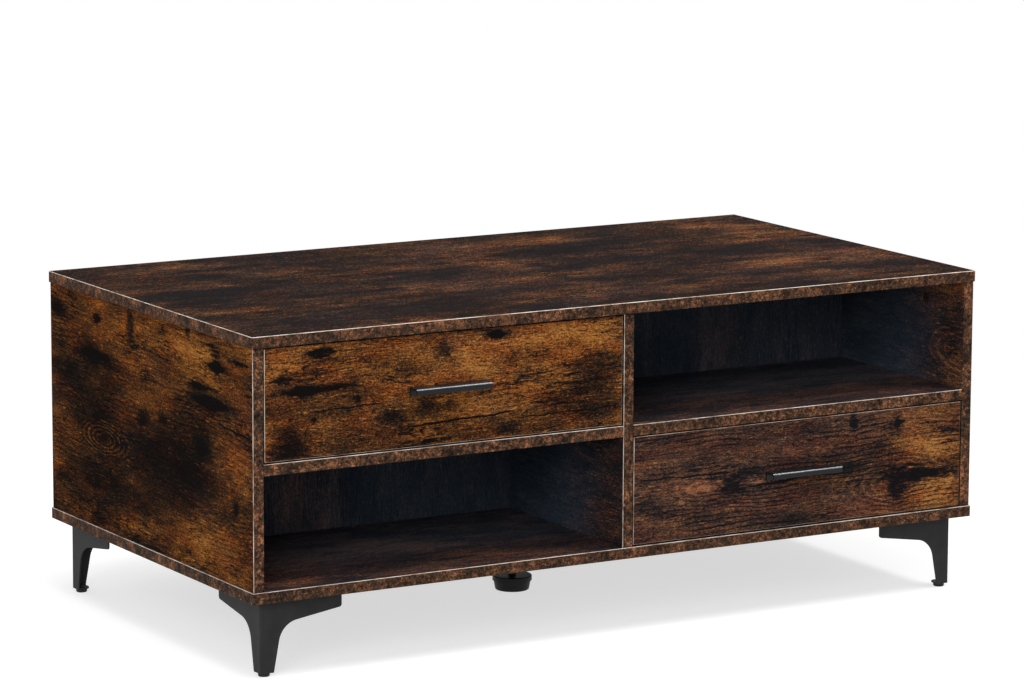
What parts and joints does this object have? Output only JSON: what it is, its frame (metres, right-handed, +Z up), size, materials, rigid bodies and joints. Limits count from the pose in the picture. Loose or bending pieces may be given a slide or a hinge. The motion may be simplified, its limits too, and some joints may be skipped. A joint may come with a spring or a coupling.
{
  "type": "coffee table",
  "caption": "Low rectangular coffee table: rustic brown board carcass with inset drawers on roller runners beside open bays along both long sides, on bent sheet-steel corner legs.",
  "frame": {"origin": "on the floor under the centre of the table", "axes": "+X along the length to the right seen from the front, -Y out of the front, +Z up"},
  "size_m": [1.1, 0.635, 0.44],
  "materials": {
    "rustic_board": "rustic brown laminate",
    "drawer_board": "dark brown foil",
    "black_steel": "matte black powder coat",
    "handle_metal": "satin black",
    "runner_steel": "black epoxy coat",
    "plated_steel": "zinc plated",
    "black_plastic": "moulded",
    "roller_plastic": "moulded nylon",
    "beech": "fluted beech"
  },
  "bodies": {
    "cabinet": {"top_panel": "rustic_board", "bottom_panel": "rustic_board", "left_side_panel": "rustic_board", "right_side_panel": "rustic_board", "centre_divider": "rustic_board", "left_middle_board": "rustic_board", "right_middle_board": "rustic_board", "front_left_shelf": "rustic_board", "front_right_shelf": "rustic_board", "back_left_shelf": "rustic_board", "back_right_shelf": "rustic_board", "front_left_leg": "black_steel", "front_right_leg": "black_steel", "back_right_leg": "black_steel", "back_left_leg": "black_steel", "leg_glides": "black_plastic", "support_leg": "black_plastic", "cam_locks": "plated_steel", "cam_bolts": "plated_steel", "frame_screws": "plated_steel", "panel_screws": "plated_steel", "dowels": "beech", "cabinet_runners": "runner_steel"},
    "adjuster": {"support_foot": "black_plastic"},
    "front_upper_drawer": {"front_upper_drawer_front": "rustic_board", "front_upper_drawer_sides": "drawer_board", "front_upper_drawer_back": "drawer_board", "front_upper_drawer_bottom": "drawer_board", "front_upper_drawer_handle": "handle_metal", "front_upper_drawer_runners": "runner_steel", "front_upper_drawer_fasteners": "plated_steel"},
    "front_upper_rear_rollers": {"front_upper_drawer_rollers": "roller_plastic"},
    "front_upper_front_rollers": {"front_upper_cabinet_rollers": "roller_plastic"},
    "front_lower_drawer": {"front_lower_drawer_front": "rustic_board", "front_lower_drawer_sides": "drawer_board", "front_lower_drawer_back": "drawer_board", "front_lower_drawer_bottom": "drawer_board", "front_lower_drawer_handle": "handle_metal", "front_lower_drawer_runners": "runner_steel", "front_lower_drawer_fasteners": "plated_steel"},
    "front_lower_rear_rollers": {"front_lower_drawer_rollers": "roller_plastic"},
    "front_lower_front_rollers": {"front_lower_cabinet_rollers": "roller_plastic"},
    "back_upper_drawer": {"back_upper_drawer_front": "rustic_board", "back_upper_drawer_sides": "drawer_board", "back_upper_drawer_back": "drawer_board", "back_upper_drawer_bottom": "drawer_board", "back_upper_drawer_handle": "handle_metal", "back_upper_drawer_runners": "runner_steel", "back_upper_drawer_fasteners": "plated_steel"},
    "back_upper_rear_rollers": {"back_upper_drawer_rollers": "roller_plastic"},
    "back_upper_front_rollers": {"back_upper_cabinet_rollers": "roller_plastic"},
    "back_lower_drawer": {"back_lower_drawer_front": "rustic_board", "back_lower_drawer_sides": "drawer_board", "back_lower_drawer_back": "drawer_board", "back_lower_drawer_bottom": "drawer_board", "back_lower_drawer_handle": "handle_metal", "back_lower_drawer_runners": "runner_steel", "back_lower_drawer_fasteners": "plated_steel"},
    "back_lower_rear_rollers": {"back_lower_drawer_rollers": "roller_plastic"},
    "back_lower_front_rollers": {"back_lower_cabinet_rollers": "roller_plastic"}
  },
  "joints": [
    {"name": "support_foot_turn", "type": "hinge", "parent": "cabinet", "child": "adjuster", "pos_m": [0, 0, 0.02], "axis": [0, 0, 1], "continuous": true},
    {"name": "front_upper_drawer_slide", "type": "slide", "parent": "cabinet", "child": "front_upper_drawer", "axis": [0, -1, 0], "range_m": [0, 0.185]},
    {"name": "front_upper_front_roller_turn", "type": "hinge", "parent": "cabinet", "child": "front_upper_front_rollers", "pos_m": [-0.2705, -0.268, 0.299], "axis": [1, 0, 0], "continuous": true},
    {"name": "front_upper_rear_roller_turn", "type": "hinge", "parent": "front_upper_drawer", "child": "front_upper_rear_rollers", "pos_m": [-0.2705, -0.0445, 0.299], "axis": [1, 0, 0], "continuous": true},
    {"name": "front_lower_drawer_slide", "type": "slide", "parent": "cabinet", "child": "front_lower_drawer", "axis": [0, -1, 0], "range_m": [0, 0.185]},
    {"name": "front_lower_front_roller_turn", "type": "hinge", "parent": "cabinet", "child": "front_lower_front_rollers", "pos_m": [0.2705, -0.268, 0.1365], "axis": [1, 0, 0], "continuous": true},
    {"name": "front_lower_rear_roller_turn", "type": "hinge", "parent": "front_lower_drawer", "child": "front_lower_rear_rollers", "pos_m": [0.2705, -0.0445, 0.1365], "axis": [1, 0, 0], "continuous": true},
    {"name": "back_upper_drawer_slide", "type": "slide", "parent": "cabinet", "child": "back_upper_drawer", "axis": [0, 1, 0], "range_m": [0, 0.185]},
    {"name": "back_upper_front_roller_turn", "type": "hinge", "parent": "cabinet", "child": "back_upper_front_rollers", "pos_m": [0.2705, 0.268, 0.299], "axis": [-1, 0, 0], "continuous": true},
    {"name": "back_upper_rear_roller_turn", "type": "hinge", "parent": "back_upper_drawer", "child": "back_upper_rear_rollers", "pos_m": [0.2705, 0.0445, 0.299], "axis": [-1, 0, 0], "continuous": true},
    {"name": "back_lower_drawer_slide", "type": "slide", "parent": "cabinet", "child": "back_lower_drawer", "axis": [0, 1, 0], "range_m": [0, 0.185]},
    {"name": "back_lower_front_roller_turn", "type": "hinge", "parent": "cabinet", "child": "back_lower_front_rollers", "pos_m": [-0.2705, 0.268, 0.1365], "axis": [-1, 0, 0], "continuous": true},
    {"name": "back_lower_rear_roller_turn", "type": "hinge", "parent": "back_lower_drawer", "child": "back_lower_rear_rollers", "pos_m": [-0.2705, 0.0445, 0.1365], "axis": [-1, 0, 0], "continuous": true}
  ],
  "couplings": [
    {"joint": "front_upper_front_roller_turn", "follows": "front_upper_drawer_slide", "rad_per_m": 100},
    {"joint": "front_upper_rear_roller_turn", "follows": "front_upper_drawer_slide", "rad_per_m": 100},
    {"joint": "front_lower_front_roller_turn", "follows": "front_lower_drawer_slide", "rad_per_m": 100},
    {"joint": "front_lower_rear_roller_turn", "follows": "front_lower_drawer_slide", "rad_per_m": 100},
    {"joint": "back_upper_front_roller_turn", "follows": "back_upper_drawer_slide", "rad_per_m": 100},
    {"joint": "back_upper_rear_roller_turn", "follows": "back_upper_drawer_slide", "rad_per_m": 100},
    {"joint": "back_lower_front_roller_turn", "follows": "back_lower_drawer_slide", "rad_per_m": 100},
    {"joint": "back_lower_rear_roller_turn", "follows": "back_lower_drawer_slide", "rad_per_m": 100}
  ]
}
